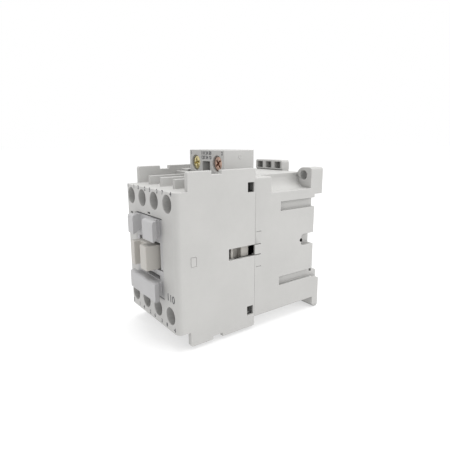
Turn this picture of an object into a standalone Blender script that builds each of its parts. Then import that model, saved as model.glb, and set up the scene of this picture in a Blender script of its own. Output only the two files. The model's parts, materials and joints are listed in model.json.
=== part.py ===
"""Four-pole rail-mounted contactor, built as separate solids.

Frame: +Z up, the front face looks along -Y, +X is to the right seen from the front. The origin is
the middle of the rail seat on the back. Dimensions are in millimetres and become metres when the
meshes are made.
"""
import math

import bmesh
import bpy
from mathutils import Vector

MM = 0.001

# Driving dimensions
HALF_WIDTH = 22.5
PLATE = 2.2
INNER_X = HALF_WIDTH - PLATE
FRONT_Y = -75.5
SLAB_BACK_Y = -69.0
PLATE_FRONT_Y = -69.8
SEAM_Y = -37.0
BASE_FRONT_Y = -36.92
PANEL_Y = 5.0
PLATE_HALF_HEIGHT = 35.0
BASE_HALF_HEIGHT = 31.1
SLAB_TOP_Z = 27.6
SLAB_BOTTOM_Z = -28.8
WALL = 1.2
CLEAR = 0.3
PAST = 0.2

# Poles and terminals
POLE_PITCH = 11.0
POLE_X = [(index - 1.5) * POLE_PITCH for index in range(4)]
RIB_X = [(index - 1.0) * POLE_PITCH for index in range(3)]
RIB_THICKNESS = 1.6
ROWS = {"top": (1, 22.9), "bottom": (-1, 22.2)}
ACCESS_RADIUS = 3.6
TERMINAL_HALF = 3.4
STRIP = 1.2
PAD_FRONT_Y = -60.3
SCREW_HEAD_RADIUS = 3.2
SCREW_HEAD = 2.4
SCREW_SHANK_RADIUS = 1.7
SCREW_SHANK = 7.0
TIP_RADIUS = 2.1
TIP_HEIGHT = 1.0
CONTACT_Z = 10.4
FIXED_TIP_Y = -56.3
BRIDGE_Y = -61.9

# Front guide and its two heads
GUIDE_HALF_WIDTH = 11.9
GUIDE_TOP_Z = 16.0
GUIDE_BOTTOM_Z = -16.5
GUIDE_BACK_Y = -72.05
HEAD_FRONT_Y = -79.7
HEAD_BACK_Y = -77.6
STEM_HALF_WIDTH = 9.9
UPPER_POSTS = ((-1, 6.7), (1, 2.6))
LOWER_HEAD_Z = (-17.2, -9.3)

# Moving group and magnet
TIP_FRONT_Y = -80.8
TIP_HALF_WIDTH = 7.4
TIP_LOW_Z = -5.0
TIP_HIGH_Z = 5.2
CARRIER_TAIL_Y = -41.4
STACK_HALF = 7.0
CORE_HALF_HEIGHT = 19.0
OUTER_LEG_Z = 14.6
CENTRE_LEG_Z = 4.4
ARMATURE_FACE_Y = -24.6
CORE_FACE_Y = -19.2
CAVITY_HALF_X = 17.3
CAVITY_HALF_Z = 21.5
CAVITY_BACK_Y = -2.0

# Coil terminal block
COIL_BLOCK_X = 13.6
COIL_BLOCK_FRONT_Y = -46.7
COIL_BLOCK_BACK_Y = -30.6
COIL_BLOCK_TOP_Z = 42.2
COIL_SCREW_X = 8.45
COIL_SCREW_Z = 36.5
COIL_HEAD_RADIUS = 3.1

# Back: slots, ears, foot and rail latch
SLOT_Z = (15.4, 19.6)
SLOT_X = 20.5
EAR_INNER_X = 13.3
EAR_LOW_Z = 21.2
EAR_HIGH_Z = 33.7
EAR_FRONT_Y = -3.0
EAR_HOLE = (17.5, 30.0)
EAR_HOLE_RADIUS = 2.25
CHANNEL_FLOOR_Z = 24.1
CHANNEL_FRONT_Y = -28.0
FOOT_LOW_Z = -36.2
HOOK_Y = 1.6
LATCH_X = (-20.6, -0.2)
LATCH_TOP_Z = 36.2
LATCH_WINDOW_PITCH = 6.8

parts = None
cutters = None


def clear_scene():
    for item in list(bpy.data.objects):
        bpy.data.objects.remove(item, do_unlink=True)


def make_collection(name):
    collection = bpy.data.collections.new(name)
    bpy.context.scene.collection.children.link(collection)
    return collection


# Materials

def make_material(name, colour, roughness, metallic=0.0):
    material = bpy.data.materials.new(name)
    material.use_nodes = True
    shader = material.node_tree.nodes["Principled BSDF"]
    shader.inputs["Base Color"].default_value = (*colour, 1.0)
    shader.inputs["Roughness"].default_value = roughness
    shader.inputs["Metallic"].default_value = metallic
    return material


def housing_plastic():
    return make_material("housing_plastic", (0.60, 0.60, 0.585), 0.5)


def base_plastic():
    return make_material("base_plastic", (0.60, 0.60, 0.585), 0.5)


def guide_plastic():
    return make_material("guide_plastic", (0.56, 0.56, 0.55), 0.5)


def carrier_plastic():
    return make_material("carrier_plastic", (0.55, 0.51, 0.44), 0.45)


def coil_block_plastic():
    return make_material("coil_block_plastic", (0.58, 0.58, 0.57), 0.5)


def bobbin_plastic():
    return make_material("bobbin_plastic", (0.05, 0.05, 0.055), 0.55)


def latch_plastic():
    return make_material("latch_plastic", (0.57, 0.57, 0.56), 0.5)


def lamination_steel():
    return make_material("lamination_steel", (0.33, 0.33, 0.34), 0.4, 0.9)


def winding_copper():
    return make_material("winding_copper", (0.55, 0.22, 0.09), 0.35, 0.9)


def ring_copper():
    return make_material("ring_copper", (0.72, 0.36, 0.20), 0.3, 1.0)


def contact_brass():
    return make_material("contact_brass", (0.74, 0.58, 0.28), 0.3, 1.0)


def bridge_copper():
    return make_material("bridge_copper", (0.72, 0.40, 0.24), 0.3, 1.0)


def screw_steel():
    return make_material("screw_steel", (0.62, 0.63, 0.64), 0.35, 1.0)


def screw_yellow_zinc():
    return make_material("screw_yellow_zinc", (0.70, 0.60, 0.30), 0.3, 1.0)


def screw_copper_tint():
    return make_material("screw_copper_tint", (0.58, 0.36, 0.27), 0.35, 1.0)


def clamp_steel():
    return make_material("clamp_steel", (0.58, 0.59, 0.60), 0.4, 1.0)


def spring_steel():
    return make_material("spring_steel", (0.50, 0.51, 0.53), 0.3, 1.0)


def pad_rubber():
    return make_material("pad_rubber", (0.03, 0.03, 0.03), 0.8)


# Shape helpers; every length they take is in millimetres

def link(name, mesh, material, origin):
    """Put a finished mesh in the scene, as a part when it has a material and as a cutter if not."""
    item = bpy.data.objects.new(name, mesh)
    if material is None:
        cutters.objects.link(item)
        item.hide_render = True
        item.display_type = "WIRE"
    else:
        parts.objects.link(item)
        mesh.materials.append(material)
    item.location = Vector(origin) * MM
    return item


def finish_mesh(name, shape, origin):
    """Scale a bmesh drawn in millimetres, measured from the origin given, into a metre mesh."""
    shape.normal_update()
    bmesh.ops.recalc_face_normals(shape, faces=shape.faces)
    bmesh.ops.translate(shape, verts=shape.verts, vec=-Vector(origin))
    bmesh.ops.scale(shape, verts=shape.verts, vec=(MM, MM, MM))
    mesh = bpy.data.meshes.new(name)
    shape.to_mesh(mesh)
    shape.free()
    mesh.shade_smooth()
    mesh.set_sharp_from_angle(angle=math.radians(30.0))
    return mesh


def add_box(shape, low, high):
    made = bmesh.ops.create_cube(shape, size=1.0)["verts"]
    size = [abs(b - a) for a, b in zip(low, high)]
    middle = [(a + b) / 2.0 for a, b in zip(low, high)]
    bmesh.ops.scale(shape, verts=made, vec=size)
    bmesh.ops.translate(shape, verts=made, vec=middle)


def boxes(name, corners, material=None, origin=(0.0, 0.0, 0.0)):
    """One object holding a box for each (low, high) pair; pairs in one object never touch."""
    shape = bmesh.new()
    for low, high in corners:
        add_box(shape, low, high)
    return link(name, finish_mesh(name, shape, origin), material, origin)


def rods(name, axis, places, low, high, radius, sides=32, material=None, origin=(0.0, 0.0, 0.0)):
    """Cylinders along one axis from low to high, one for each pair of cross coordinates."""
    shape = bmesh.new()
    for u, v in places:
        made = bmesh.ops.create_cone(shape, cap_ends=True, segments=sides, radius1=radius,
                                     radius2=radius, depth=high - low)["verts"]
        for vertex in made:
            x, y, z = vertex.co
            along = z + (low + high) / 2.0
            vertex.co = {"x": (along, x + u, y + v), "y": (x + u, along, y + v),
                         "z": (x + u, y + v, along)}[axis]
    return link(name, finish_mesh(name, shape, origin), material, origin)


def rounded(corners):
    """Outline points for corners given as (u, v) or (u, v, radius), arcs worked out here."""
    points = []
    count = len(corners)
    for index, corner in enumerate(corners):
        here = Vector(corner[:2])
        radius = corner[2] if len(corner) == 3 else 0.0
        if radius == 0.0:
            points.append(here)
            continue
        before = (Vector(corners[index - 1][:2]) - here).normalized()
        after = (Vector(corners[(index + 1) % count][:2]) - here).normalized()
        half = before.angle(after) / 2.0
        middle = here + (before + after).normalized() * radius / math.sin(half)
        start = here + before * radius / math.tan(half) - middle
        end = here + after * radius / math.tan(half) - middle
        sweep = math.copysign(math.pi - 2.0 * half, start.x * end.y - start.y * end.x)
        steps = 3 if radius < 1.5 else 6
        for step in range(steps + 1):
            angle = sweep * step / steps
            points.append(middle + Vector((start.x * math.cos(angle) - start.y * math.sin(angle),
                                           start.x * math.sin(angle) + start.y * math.cos(angle))))
    return points


def prism(name, corners, plane, low, high, material=None, origin=(0.0, 0.0, 0.0)):
    """A flat outline in the plane "xy", "xz" or "yz", extruded from low to high across it."""
    outline = rounded(corners)
    curve = bpy.data.curves.new(name, "CURVE")
    curve.dimensions = "2D"
    curve.fill_mode = "BOTH"
    curve.extrude = (high - low) / 2.0
    spline = curve.splines.new("POLY")
    spline.points.add(len(outline) - 1)
    for point, (u, v) in zip(spline.points, outline):
        point.co = (u, v, 0.0, 1.0)
    spline.use_cyclic_u = True
    drawn = bpy.data.objects.new(name + "_outline", curve)
    cutters.objects.link(drawn)
    graph = bpy.context.evaluated_depsgraph_get()
    flat = bpy.data.meshes.new_from_object(drawn.evaluated_get(graph))
    shape = bmesh.new()
    shape.from_mesh(flat)
    bpy.data.objects.remove(drawn, do_unlink=True)
    bpy.data.meshes.remove(flat)
    bmesh.ops.remove_doubles(shape, verts=shape.verts, dist=0.001)
    for vertex in shape.verts:
        u, v, across = vertex.co
        across += (low + high) / 2.0
        vertex.co = {"xy": (u, v, across), "xz": (u, across, v), "yz": (across, u, v)}[plane]
    return link(name, finish_mesh(name, shape, origin), material, origin)


def combine(target, operation, *pieces):
    for piece in pieces:
        modifier = target.modifiers.new(piece.name, "BOOLEAN")
        modifier.operation = operation
        modifier.solver = "EXACT"
        modifier.object = piece


def add(target, *pieces):
    combine(target, "UNION", *pieces)


def cut(target, *pieces):
    combine(target, "DIFFERENCE", *pieces)


def spring(name, axis, centre, low, high, radius, wire, turns, material):
    """Compression spring along an axis; the first and last turns are closed up."""
    per_turn = 9
    count = int(turns * per_turn)
    curve = bpy.data.curves.new(name, "CURVE")
    curve.dimensions = "3D"
    curve.bevel_depth = wire * MM
    curve.bevel_resolution = 2
    curve.use_fill_caps = True
    line = curve.splines.new("POLY")
    line.points.add(count)
    closed = 2.4 * wire
    inner_low = low + wire + closed
    inner_high = high - wire - closed
    for index, point in enumerate(line.points):
        turn = index / per_turn
        if turn < 1.0:
            along = low + wire + closed * turn
        elif turn > turns - 1.0:
            along = high - wire - closed * (turns - turn)
        else:
            along = inner_low + (inner_high - inner_low) * (turn - 1.0) / (turns - 2.0)
        u = radius * math.cos(2.0 * math.pi * turn)
        v = radius * math.sin(2.0 * math.pi * turn)
        offset = {"y": (u, along - low, v), "z": (u, v, along - low)}[axis]
        point.co = (*(Vector(offset) * MM), 1.0)
    item = bpy.data.objects.new(name, curve)
    parts.objects.link(item)
    curve.materials.append(material)
    u, v = centre
    item.location = Vector({"y": (u, low, v), "z": (u, v, low)}[axis]) * MM
    return item


def both_sides(low, high):
    """The box given and its mirror image across the middle plane X = 0."""
    return [(low, high), ((-high[0], low[1], low[2]), (-low[0], high[1], high[2]))]


# Contact housing

def plate_outline():
    top = PLATE_HALF_HEIGHT
    notch = (-59.0, -54.3)
    notch_top = top - 1.5
    upper = [(PLATE_FRONT_Y, top, 0.9), (notch[0], top), (notch[0], notch_top),
             (notch[1], notch_top), (notch[1], top), (SEAM_Y, top, 0.9)]
    lower = [(y, -z, *rest) for y, z, *rest in reversed(upper)]
    return upper + lower


def contact_housing(material):
    housing = prism("contact_housing", [(-HALF_WIDTH, SLAB_BACK_Y), (-HALF_WIDTH, FRONT_Y, 2.5),
                                        (HALF_WIDTH, FRONT_Y, 2.5), (HALF_WIDTH, SLAB_BACK_Y)],
                    "xy", SLAB_BOTTOM_Z, SLAB_TOP_Z, material)
    right = prism("plate_right", plate_outline(), "yz", INNER_X, HALF_WIDTH)
    left = prism("plate_left", plate_outline(), "yz", -HALF_WIDTH, -INNER_X)
    reach = INNER_X + PAST
    walls = boxes("cover_walls", [((-reach, SLAB_BACK_Y - PAST, SLAB_TOP_Z - WALL),
                                   (reach, SEAM_Y, SLAB_TOP_Z)),
                                  ((-reach, SLAB_BACK_Y - PAST, SLAB_BOTTOM_Z),
                                   (reach, SEAM_Y, SLAB_BOTTOM_Z + WALL))])
    ribs = boxes("pole_ribs", [((x - RIB_THICKNESS / 2.0, SLAB_BACK_Y - PAST, -32.6),
                                (x + RIB_THICKNESS / 2.0, -47.6, 31.4)) for x in RIB_X])
    pad_walls = boxes("pad_walls", [((-reach, -58.8, 19.8), (reach, -56.6, SLAB_TOP_Z - PAST)),
                                    ((-reach, -58.8, SLAB_BOTTOM_Z + PAST), (reach, -56.6, -19.8))])
    arc_walls = boxes("arc_walls", [((-reach, -53.9, 7.0), (reach, -52.3, SLAB_TOP_Z - PAST)),
                                    ((-reach, -53.9, SLAB_BOTTOM_Z + PAST), (reach, -52.3, -7.0))])
    ledge = boxes("coil_block_ledge", [((-reach, -50.4, SLAB_TOP_Z - PAST), (reach, -47.4, 32.2))])
    step = boxes("coil_block_step", [((-reach, -47.5, SLAB_TOP_Z - PAST),
                                      (-COIL_BLOCK_X - 1.2, SEAM_Y, 33.2)),
                                     ((COIL_BLOCK_X + 1.2, -47.5, SLAB_TOP_Z - PAST),
                                      (reach, SEAM_Y, 33.2))])
    add(housing, right, left, walls, ribs, pad_walls, arc_walls, ledge, step)
    cut_contact_housing(housing)
    return housing


def cut_contact_housing(housing):
    access = [(x, side * z) for side, z in ROWS.values() for x in POLE_X]
    shank_clearance = rods("shank_clearance", "y", access, -59.0, -56.4, 2.3, sides=20)
    access_holes = rods("screw_access", "y", access, FRONT_Y - PAST, SLAB_BACK_Y + PAST,
                        ACCESS_RADIUS)
    side = GUIDE_HALF_WIDTH + 0.05
    guide_pocket = boxes("guide_pocket", [((-side, FRONT_Y - PAST, GUIDE_BOTTOM_Z - 0.4),
                                           (side, -72.0, GUIDE_TOP_Z + 0.5))])
    carrier_hole = boxes("carrier_hole", [((-9.9, -72.2, -5.3), (9.9, SLAB_BACK_Y + PAST, 6.3))])
    hook_slot = boxes("hook_slot", [((-8.6, -72.2, -9.3), (8.6, -70.2, -7.6))])
    carrier_lane = boxes("carrier_lane", [((-INNER_X + 0.05, SLAB_BACK_Y + 0.02, -5.4),
                                           (INNER_X - 0.05, -47.0, 6.1))])
    entries = boxes("wire_entries",
                    [((x - TERMINAL_HALF, -66.0, row * low), (x + TERMINAL_HALF, -59.4, row * high))
                     for row, low, high in ((1, 26.2, 27.9), (-1, 27.4, 29.0)) for x in POLE_X])
    coil_passage = boxes("coil_passage", [((-COIL_BLOCK_X - CLEAR, -47.0, SLAB_TOP_Z - 2.0),
                                           (COIL_BLOCK_X + CLEAR, SEAM_Y + PAST, 34.0))])
    side_windows = boxes("side_windows", both_sides((INNER_X - 1.0, -50.8, -2.45),
                                                    (HALF_WIDTH + PAST, SEAM_Y + PAST, 2.45)))
    latch_windows = boxes("latch_windows",
                          [box for low, high in ((25.2, 29.3), (-29.3, -25.2))
                           for box in both_sides((17.5, -41.0, low), (HALF_WIDTH + PAST, -37.6, high))])
    arm_room = boxes("arm_room", [box for low, high in ((25.2, 29.3), (-29.3, -25.2))
                                  for box in both_sides((17.4, -41.0, low),
                                                        (INNER_X, SEAM_Y + PAST, high))])
    dark_slots = boxes("guide_slots", [((-0.9, FRONT_Y - PAST, 16.9), (1.6, -73.0, 17.7)),
                                       ((-18.2, FRONT_Y - PAST, 14.6), (-15.9, -73.0, 15.6))])
    wall_marks = boxes("wall_marks", both_sides((HALF_WIDTH - 0.25, -69.1, -1.8),
                                                (HALF_WIDTH + PAST, -66.4, 2.2)))
    cut(housing, carrier_lane, shank_clearance, access_holes, guide_pocket, carrier_hole, hook_slot,
        entries, coil_passage, side_windows, latch_windows, arm_room, dark_slots, wall_marks)


def front_guide(material):
    """Centre insert with the heads that a front accessory hooks on: two posts above, one bar below."""
    guide = boxes("front_guide", [((-GUIDE_HALF_WIDTH, FRONT_Y, GUIDE_BOTTOM_Z),
                                   (GUIDE_HALF_WIDTH, GUIDE_BACK_Y, GUIDE_TOP_Z))], material)
    root = FRONT_Y + PAST
    head = [(HEAD_FRONT_Y, 7.1, 0.4), (HEAD_FRONT_Y, GUIDE_TOP_Z, 1.3), (HEAD_BACK_Y, GUIDE_TOP_Z),
            (HEAD_BACK_Y, 8.6)]
    stem = [(HEAD_BACK_Y - 0.5, 8.3), (HEAD_BACK_Y - 0.5, GUIDE_TOP_Z), (root, GUIDE_TOP_Z),
            (root, 9.8), (-76.0, 9.6)]
    for side, inner in UPPER_POSTS:
        for label, outline, outer in (("head", head, GUIDE_HALF_WIDTH), ("stem", stem, STEM_HALF_WIDTH)):
            low, high = sorted((side * inner, side * outer))
            add(guide, prism(f"upper_{label}_{inner}", outline, "yz", low, high))
    low_z, high_z = LOWER_HEAD_Z
    lower = prism("lower_head", [(HEAD_FRONT_Y, low_z, 0.5), (HEAD_FRONT_Y, high_z, 0.8),
                                 (HEAD_BACK_Y, high_z), (HEAD_BACK_Y, low_z)],
                  "yz", -GUIDE_HALF_WIDTH, GUIDE_HALF_WIDTH)
    lower_stem = boxes("lower_stem", [((-STEM_HALF_WIDTH, HEAD_BACK_Y - 0.5, GUIDE_BOTTOM_Z + 0.6),
                                       (STEM_HALF_WIDTH, root, high_z - 0.3))])
    add(guide, lower, lower_stem)
    window = boxes("guide_window", [((-9.7, FRONT_Y - PAST, -5.3), (9.7, -72.0, 6.3))])
    slot = boxes("guide_slot", [((-8.6, FRONT_Y - PAST, -9.3), (8.6, -72.0, -7.6))])
    line = boxes("guide_line", [((-11.5, FRONT_Y - PAST, -5.05), (11.5, -74.5, -4.65))])
    notch = boxes("guide_notch", [((-7.5, FRONT_Y - PAST, 6.1), (-5.6, -74.0, 7.1))])
    cut(guide, window, slot, line, notch)
    return guide


# Contact carrier and what it holds

def contact_carrier(material):
    carrier = boxes("contact_carrier", [((-TIP_HALF_WIDTH, TIP_FRONT_Y, TIP_LOW_Z),
                                         (TIP_HALF_WIDTH, -68.2, TIP_HIGH_Z))], material)
    crossbar = boxes("carrier_crossbar", [((-19.7, -68.7, -4.6), (19.7, -58.4, 4.6))])
    tail = boxes("carrier_tail", [((-7.0, -58.6, -3.9), (7.0, -47.7, 3.9))])
    flange = boxes("carrier_flange", [((-19.8, -47.9, -4.0), (19.8, -46.7, 4.0))])
    neck = boxes("carrier_neck", [((-17.4, -46.8, -3.6), (17.4, -43.6, 3.6))])
    lug = boxes("carrier_lug", [((-17.4, -43.8, -4.0), (17.4, CARRIER_TAIL_Y, 4.0))])
    ears = boxes("carrier_ears", both_sides((15.7, -42.5, -3.9), (19.8, -38.4, 3.9)))
    cheeks = boxes("carrier_cheeks", both_sides((STACK_HALF + CLEAR, CARRIER_TAIL_Y - PAST, -3.4),
                                                (9.2, -36.6, 3.4)))
    add(carrier, crossbar, tail, flange, neck, lug, ears, cheeks)
    windows = boxes("bridge_windows", [((x - 4.2, -67.4, -5.0), (x + 4.2, -60.3, 6.0))
                                       for x in POLE_X])
    pin_hole = rods("pin_hole", "x", [(-38.3, 0.0)], -10.0, 10.0, 1.3, sides=20)
    groove = boxes("tip_groove", [((-3.9, TIP_FRONT_Y - PAST, TIP_LOW_Z - PAST),
                                   (1.75, -77.8, TIP_HIGH_Z + PAST))])
    cut(carrier, windows, pin_hole, groove)
    return carrier


def bridge(index, x, material):
    item = boxes(f"bridge_{index}", [((x - 3.2, BRIDGE_Y, -12.6), (x + 3.2, BRIDGE_Y + 1.3, 12.6))],
                 material, (x, BRIDGE_Y, 0.0))
    tips = rods(f"bridge_tips_{index}", "y", [(x, -CONTACT_Z), (x, CONTACT_Z)], BRIDGE_Y + 1.2,
                BRIDGE_Y + 1.3 + TIP_HEIGHT, TIP_RADIUS, sides=20)
    add(item, tips)
    return item


def fixed_contact(row, index, x, material):
    side, z = ROWS[row]
    centre = (x, PAD_FRONT_Y, side * z)
    back = PAD_FRONT_Y + STRIP
    rear = -54.2
    corners = [(PAD_FRONT_Y, 24.0), (PAD_FRONT_Y, 16.8, 0.9), (rear - STRIP, 16.8, 0.3),
               (rear - STRIP, 8.4), (rear, 8.4), (rear, 18.0, 0.9), (back, 18.0, 0.3), (back, 24.0)]
    item = prism(f"fixed_contact_{row}_{index}", [(y, side * v, *rest) for y, v, *rest in corners],
                 "yz", x - 2.9, x + 2.9, material, centre)
    ends = sorted((side * 19.0, side * 25.6))
    pad = boxes(f"pad_{row}_{index}", [((x - TERMINAL_HALF, PAD_FRONT_Y - 0.02, ends[0]),
                                        (x + TERMINAL_HALF, back + 0.02, ends[1]))])
    tip = rods(f"tip_{row}_{index}", "y", [(x, side * CONTACT_Z)], FIXED_TIP_Y, rear - 0.9,
               TIP_RADIUS, sides=20)
    hole = rods(f"pad_hole_{row}_{index}", "y", [(x, side * z)], PAD_FRONT_Y - 0.5, back + 0.5, 2.2,
                sides=20)
    add(item, pad, tip)
    cut(item, hole)
    return item


def screw(name, centre, head_radius, head, shank_radius, shank, slot, material):
    """Cheese-head screw along Y with a cross recess; its origin is under the head, on its axis."""
    x, y, z = centre
    item = rods(name, "y", [(x, z)], y - head, y, head_radius, 28, material, centre)
    item.data.materials[0] = material
    body = rods(name + "_shank", "y", [(x, z)], y - 0.4, y + shank, shank_radius, 16)
    across = boxes(name + "_slot_x", [((x - slot, y - head - PAST, z - 0.45),
                                       (x + slot, y - head + 1.1, z + 0.45))])
    upright = boxes(name + "_slot_z", [((x - 0.45, y - head - PAST, z - slot),
                                        (x + 0.45, y - head + 1.1, z + slot))])
    add(item, body)
    cut(item, across, upright)
    return item


def clamp(name, centre, half_x, low_z, high_z, thickness, hole, material):
    """Square pressure plate on a terminal screw; its origin is on the screw's axis."""
    x, y, z = centre
    item = boxes(name, [((x - half_x, y - thickness, low_z), (x + half_x, y, high_z))], material,
                 centre)
    opening = rods(name + "_hole", "y", [(x, z)], y - thickness - 0.5, y + 0.5, hole, 20)
    ridge = boxes(name + "_groove", [((x - half_x - 0.5, y - 0.35, z - 2.6),
                                      (x + half_x + 0.5, y + 0.5, z - 2.3)),
                                     ((x - half_x - 0.5, y - 0.35, z + 2.3),
                                      (x + half_x + 0.5, y + 0.5, z + 2.6))])
    cut(item, opening, ridge)
    return item


def terminals(brass, steel, plate_steel):
    for row, (side, z) in ROWS.items():
        for index, x in enumerate(POLE_X, start=1):
            fixed_contact(row, index, x, brass)
            ends = sorted((side * 19.3, side * 25.9))
            clamp(f"terminal_clamp_{row}_{index}", (x, PAD_FRONT_Y - CLEAR, side * z),
                  TERMINAL_HALF - 0.2, ends[0], ends[1], STRIP, 2.1, plate_steel)
            head_back = PAD_FRONT_Y - STRIP - 2.0 * CLEAR
            screw(f"terminal_screw_{row}_{index}", (x, head_back, side * z), SCREW_HEAD_RADIUS,
                  SCREW_HEAD, SCREW_SHANK_RADIUS, SCREW_SHANK, 2.1, steel)


# Magnet and coil

def armature(material):
    yoke_front = CARRIER_TAIL_Y + CLEAR
    yoke_back = -35.0
    item = prism("armature", [(yoke_front, -CORE_HALF_HEIGHT), (yoke_front, CORE_HALF_HEIGHT),
                              (ARMATURE_FACE_Y, CORE_HALF_HEIGHT), (ARMATURE_FACE_Y, OUTER_LEG_Z),
                              (yoke_back, OUTER_LEG_Z), (yoke_back, CENTRE_LEG_Z),
                              (ARMATURE_FACE_Y - CLEAR, CENTRE_LEG_Z),
                              (ARMATURE_FACE_Y - CLEAR, -CENTRE_LEG_Z),
                              (yoke_back, -CENTRE_LEG_Z), (yoke_back, -OUTER_LEG_Z),
                              (ARMATURE_FACE_Y, -OUTER_LEG_Z), (ARMATURE_FACE_Y, -CORE_HALF_HEIGHT)],
                 "yz", -STACK_HALF, STACK_HALF, material)
    cut(item, rods("armature_hole", "x", [(-38.3, 0.0)], -10.0, 10.0, 1.3, sides=20))
    return item


def magnet_core(material):
    yoke_back = -3.4
    yoke_front = -9.8
    item = prism("magnet_core", [(yoke_back, -CORE_HALF_HEIGHT), (yoke_back, CORE_HALF_HEIGHT),
                                 (CORE_FACE_Y, CORE_HALF_HEIGHT), (CORE_FACE_Y, OUTER_LEG_Z),
                                 (yoke_front, OUTER_LEG_Z), (yoke_front, CENTRE_LEG_Z),
                                 (CORE_FACE_Y + CLEAR, CENTRE_LEG_Z),
                                 (CORE_FACE_Y + CLEAR, -CENTRE_LEG_Z), (yoke_front, -CENTRE_LEG_Z),
                                 (yoke_front, -OUTER_LEG_Z), (CORE_FACE_Y, -OUTER_LEG_Z),
                                 (CORE_FACE_Y, -CORE_HALF_HEIGHT)],
                 "yz", -STACK_HALF, STACK_HALF, material)
    grooves = boxes("ring_grooves", [((-8.0, CORE_FACE_Y - PAST, 16.3), (8.0, -17.5, 17.8)),
                                     ((-8.0, CORE_FACE_Y - PAST, -17.8), (8.0, -17.5, -16.3))])
    cut(item, grooves)
    return item


def shading_ring(name, side, material):
    low, high = sorted((side * 16.6, side * 20.2))
    inner_low, inner_high = sorted((side * 17.5, side * 19.3))
    item = boxes(name, [((-8.2, -19.0, low), (8.2, -17.8, high))], material)
    cut(item, boxes(name + "_inside", [((-7.3, -19.3, inner_low), (7.3, -17.5, inner_high))]))
    return item


def coil_bobbin(material):
    item = boxes("coil_bobbin", [((-8.4, -29.0, -5.9), (8.4, -10.5, 5.9))], material)
    flanges = boxes("bobbin_flanges", [((-16.2, -29.3, -14.2), (16.2, -28.1, 14.2)),
                                       ((-16.2, -11.4, -14.2), (16.2, -10.2, 14.2))])
    tabs = boxes("bobbin_tabs", both_sides((8.6, COIL_BLOCK_BACK_Y + CLEAR, 14.0), (12.4, -28.1, 20.5)))
    bore = boxes("bobbin_bore", [((-STACK_HALF - CLEAR, -29.6, -4.8), (STACK_HALF + CLEAR, -9.9, 4.8))])
    add(item, flanges, tabs)
    cut(item, bore)
    return item


def coil_winding(material):
    item = prism("coil_winding", [(-15.2, -13.2, 3.0), (15.2, -13.2, 3.0), (15.2, 13.2, 3.0),
                                  (-15.2, 13.2, 3.0)], "xz", -27.8, -11.7, material)
    cut(item, boxes("winding_inside", [((-8.7, -28.0, -6.2), (8.7, -11.5, 6.2))]))
    return item


# Coil terminals

def coil_terminal_block(material):
    block = boxes("coil_terminal_block", [((-COIL_BLOCK_X, COIL_BLOCK_FRONT_Y, 24.0),
                                           (COIL_BLOCK_X, COIL_BLOCK_BACK_Y, COIL_BLOCK_TOP_Z))],
                  material)
    legs = boxes("coil_block_legs", both_sides((8.6, -33.5, 14.5), (12.4, COIL_BLOCK_BACK_Y, 24.2)))
    add(block, legs)
    places = [(-COIL_SCREW_X, COIL_SCREW_Z), (COIL_SCREW_X, COIL_SCREW_Z)]
    recess = rods("coil_recess", "y", places, COIL_BLOCK_FRONT_Y - PAST, -44.8, 3.45)
    pockets = boxes("coil_pockets", both_sides((COIL_SCREW_X - 3.4, -45.3, 23.0),
                                               (COIL_SCREW_X + 3.4, -39.6, 43.0)))
    shank_room = rods("coil_shank_room", "y", places, -39.8, -36.6, 1.8, 20)
    centre = boxes("coil_block_socket", [((-3.0, COIL_BLOCK_FRONT_Y - PAST, 32.2), (3.1, -42.5, 37.3))])
    cut(block, recess, pockets, shank_room, centre)
    return block


def coil_terminals(brass, plate_steel, yellow, copper_tint):
    for name, x, finish in (("left", -COIL_SCREW_X, yellow), ("right", COIL_SCREW_X, copper_tint)):
        strip = boxes(f"coil_contact_{name}", [((x - 3.0, -41.2, 25.5), (x + 3.0, -40.2, 39.8))],
                      brass, (x, -41.2, COIL_SCREW_Z))
        cut(strip, rods(f"coil_contact_hole_{name}", "y", [(x, COIL_SCREW_Z)], -41.6, -39.8, 1.9, 20))
        clamp(f"coil_clamp_{name}", (x, -41.5, COIL_SCREW_Z), 3.0, 33.6, 39.4, 1.0, 1.8, plate_steel)
        screw(f"coil_screw_{name}", (x, -43.8, COIL_SCREW_Z), COIL_HEAD_RADIUS, 2.3, 1.4, 6.0, 2.1,
              finish)


# Base with ears, foot, hooks and latch guides

def turned(corners):
    """An outline in the XZ plane turned half a turn about the Y axis."""
    return [(-u, -v, *rest) for u, v, *rest in corners]


def base_housing(material):
    edge = 0.7
    base = prism("base_housing", [(-HALF_WIDTH, -BASE_HALF_HEIGHT, edge),
                                  (HALF_WIDTH, -BASE_HALF_HEIGHT, edge),
                                  (HALF_WIDTH, BASE_HALF_HEIGHT, edge),
                                  (-HALF_WIDTH, BASE_HALF_HEIGHT, edge)],
                 "xz", BASE_FRONT_Y, 0.0, material)
    channel = [(EAR_INNER_X, BASE_HALF_HEIGHT + 1.0), (EAR_INNER_X, CHANNEL_FLOOR_Z, 5.4),
               (HALF_WIDTH + 1.0, CHANNEL_FLOOR_Z), (HALF_WIDTH + 1.0, BASE_HALF_HEIGHT + 1.0)]
    cut(base, prism("channel_right", channel, "xz", CHANNEL_FRONT_Y, EAR_FRONT_Y),
        prism("channel_left", turned(channel), "xz", CHANNEL_FRONT_Y, EAR_FRONT_Y))
    add_back_features(base)
    cut_base(base)
    return base


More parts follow.
